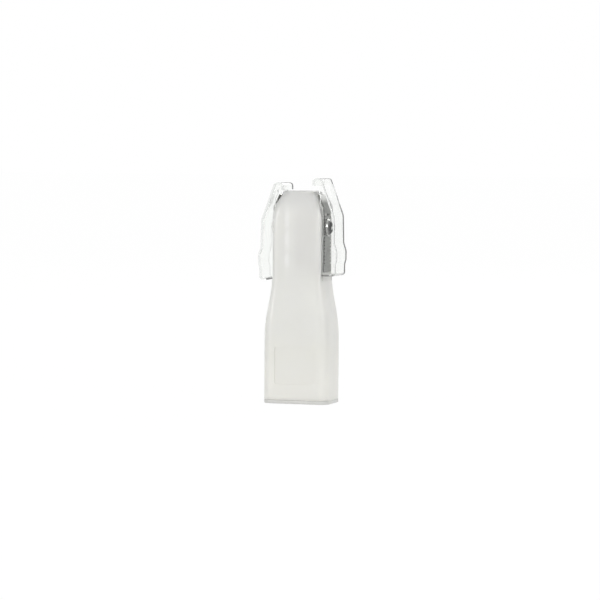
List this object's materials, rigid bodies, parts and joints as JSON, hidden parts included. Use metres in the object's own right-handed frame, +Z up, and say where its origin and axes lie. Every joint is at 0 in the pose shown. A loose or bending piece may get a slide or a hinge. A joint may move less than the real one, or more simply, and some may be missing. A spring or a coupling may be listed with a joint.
{
  "type": "electric eyebrow trimmer head",
  "caption": "Plug-on head of a pen-size electric eyebrow trimmer: milky bottle-shaped housing, toothed blades on both sides under clear slide-on guards.",
  "frame": {"origin": "middle of the socket mouth, at the level of the mouth ring's lower face", "axes": "+Z up from the socket mouth along the head, +X to the right blade seen from the front, front face (the one with the bare label panel) towards -Y"},
  "size_m": [0.0182, 0.0104, 0.0494],
  "materials": {
    "milky_plastic": "milky translucent polypropylene, soft gloss",
    "white_plastic": "white moulded plastic, soft gloss",
    "clear_plastic": "clear moulded plastic, glossy",
    "drive_plastic": "natural acetal, satin",
    "blade_steel": "ground and etched stainless strip",
    "bright_steel": "polished steel",
    "spring_steel": "rolled spring strip",
    "brass": "turned brass"
  },
  "bodies": {
    "housing": {"front_shell": "milky_plastic", "rear_shell": "milky_plastic", "mouth_ring": "white_plastic", "socket_liner": "white_plastic", "pivot_pin": "bright_steel", "front_pivot_washer": "drive_plastic", "rear_pivot_washer": "drive_plastic", "left_comb_blade": "blade_steel", "right_comb_blade": "blade_steel", "left_blade_spring": "spring_steel", "right_blade_spring": "spring_steel", "left_blade_bush": "brass", "right_blade_bush": "brass", "left_blade_screw": "bright_steel", "right_blade_screw": "bright_steel"},
    "rocker": {"rocker": "drive_plastic"},
    "left_cutter": {"left_cutter": "bright_steel", "left_cutter_carrier": "drive_plastic"},
    "right_cutter": {"right_cutter": "bright_steel", "right_cutter_carrier": "drive_plastic"},
    "left_guard": {"left_guard": "clear_plastic"},
    "right_guard": {"right_guard": "clear_plastic"}
  },
  "joints": [
    {"name": "rocker_swing", "type": "hinge", "parent": "housing", "child": "rocker", "pos_m": [0, 0, 0.033], "axis": [0, 1, 0], "range_deg": [-3.82, 3.82]},
    {"name": "left_cutter_slide", "type": "slide", "parent": "housing", "child": "left_cutter", "axis": [0, 0, 1], "range_m": [-0.0003, 0.0003]},
    {"name": "right_cutter_slide", "type": "slide", "parent": "housing", "child": "right_cutter", "axis": [0, 0, 1], "range_m": [-0.0003, 0.0003]},
    {"name": "left_guard_slide", "type": "slide", "parent": "housing", "child": "left_guard", "axis": [0, 0, 1], "range_m": [0, 0.021]},
    {"name": "right_guard_slide", "type": "slide", "parent": "housing", "child": "right_guard", "axis": [0, 0, 1], "range_m": [-0.001, 0.02]}
  ],
  "couplings": [
    {"joint": "rocker_swing", "follows": "left_cutter_slide", "rad_per_m": 221.73},
    {"joint": "right_cutter_slide", "follows": "left_cutter_slide", "ratio": -1}
  ]
}
